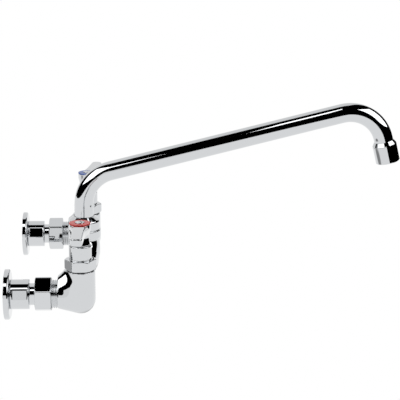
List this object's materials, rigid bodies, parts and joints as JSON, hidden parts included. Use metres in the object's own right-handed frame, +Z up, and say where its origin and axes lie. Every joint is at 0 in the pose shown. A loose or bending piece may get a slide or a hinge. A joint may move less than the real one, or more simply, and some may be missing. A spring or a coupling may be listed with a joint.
{
  "type": "wall-mounted mixing faucet",
  "caption": "Chrome wall-mounted mixing faucet with union inlets, lever handles with hot and cold index rings, and a long rising swing spout bent down to an aerator.",
  "frame": {"origin": "on the wall plane, midway between the two inlets at the height of their axes", "axes": "+Y points into the wall along the inlets, the spout reaches towards -Y, the hot valve is at -X and the cold one at +X, +Z is up"},
  "size_m": [0.3109, 0.3861, 0.1848],
  "materials": {
    "polished_chrome": "mirror-polished chrome plate on brass",
    "brass": "turned, unplated",
    "black_rubber": "moulded",
    "grey_fibre": "pressed fibre",
    "white_ceramic": "lapped alumina",
    "white_plastic": "moulded",
    "stainless_mesh": "perforated sheet",
    "red_plastic": "moulded",
    "blue_plastic": "moulded"
  },
  "bodies": {
    "faucet_body": {"mixing_body": "polished_chrome", "spout_nut": "polished_chrome", "spout_o_ring_lower": "black_rubber", "spout_o_ring_upper": "black_rubber", "hot_wall_flange": "polished_chrome", "hot_inlet_shank": "polished_chrome", "hot_coupling_nut": "polished_chrome", "hot_bonnet": "polished_chrome", "hot_inlet_washer": "black_rubber", "hot_seat_seal": "black_rubber", "hot_stem_o_ring": "black_rubber", "hot_bonnet_gasket": "grey_fibre", "hot_cartridge_body": "brass", "hot_fixed_disc": "white_ceramic", "cold_wall_flange": "polished_chrome", "cold_inlet_shank": "polished_chrome", "cold_coupling_nut": "polished_chrome", "cold_bonnet": "polished_chrome", "cold_inlet_washer": "black_rubber", "cold_seat_seal": "black_rubber", "cold_stem_o_ring": "black_rubber", "cold_bonnet_gasket": "grey_fibre", "cold_cartridge_body": "brass", "cold_fixed_disc": "white_ceramic"},
    "spout": {"spout_tube": "polished_chrome", "spout_collar": "brass", "outlet_fitting": "polished_chrome", "aerator_housing": "polished_chrome", "aerator_washer": "black_rubber", "aerator_insert": "white_plastic", "aerator_screen": "stainless_mesh"},
    "hot_lever": {"hot_handle": "polished_chrome", "hot_index_ring": "red_plastic", "hot_handle_screw": "polished_chrome", "hot_stem": "brass", "hot_moving_disc": "white_ceramic"},
    "cold_lever": {"cold_handle": "polished_chrome", "cold_index_ring": "blue_plastic", "cold_handle_screw": "polished_chrome", "cold_stem": "brass", "cold_moving_disc": "white_ceramic"}
  },
  "joints": [
    {"name": "spout_swing", "type": "hinge", "parent": "faucet_body", "child": "spout", "pos_m": [0, -0.06985, 0.03], "axis": [0, 0, 1], "range_deg": [-100, 100]},
    {"name": "hot_turn", "type": "hinge", "parent": "faucet_body", "child": "hot_lever", "pos_m": [-0.1016, -0.06985, 0.04], "axis": [0, 0, 1], "range_deg": [0, 90]},
    {"name": "cold_turn", "type": "hinge", "parent": "faucet_body", "child": "cold_lever", "pos_m": [0.1016, -0.06985, 0.04], "axis": [0, 0, 1], "range_deg": [-80, 10]}
  ]
}
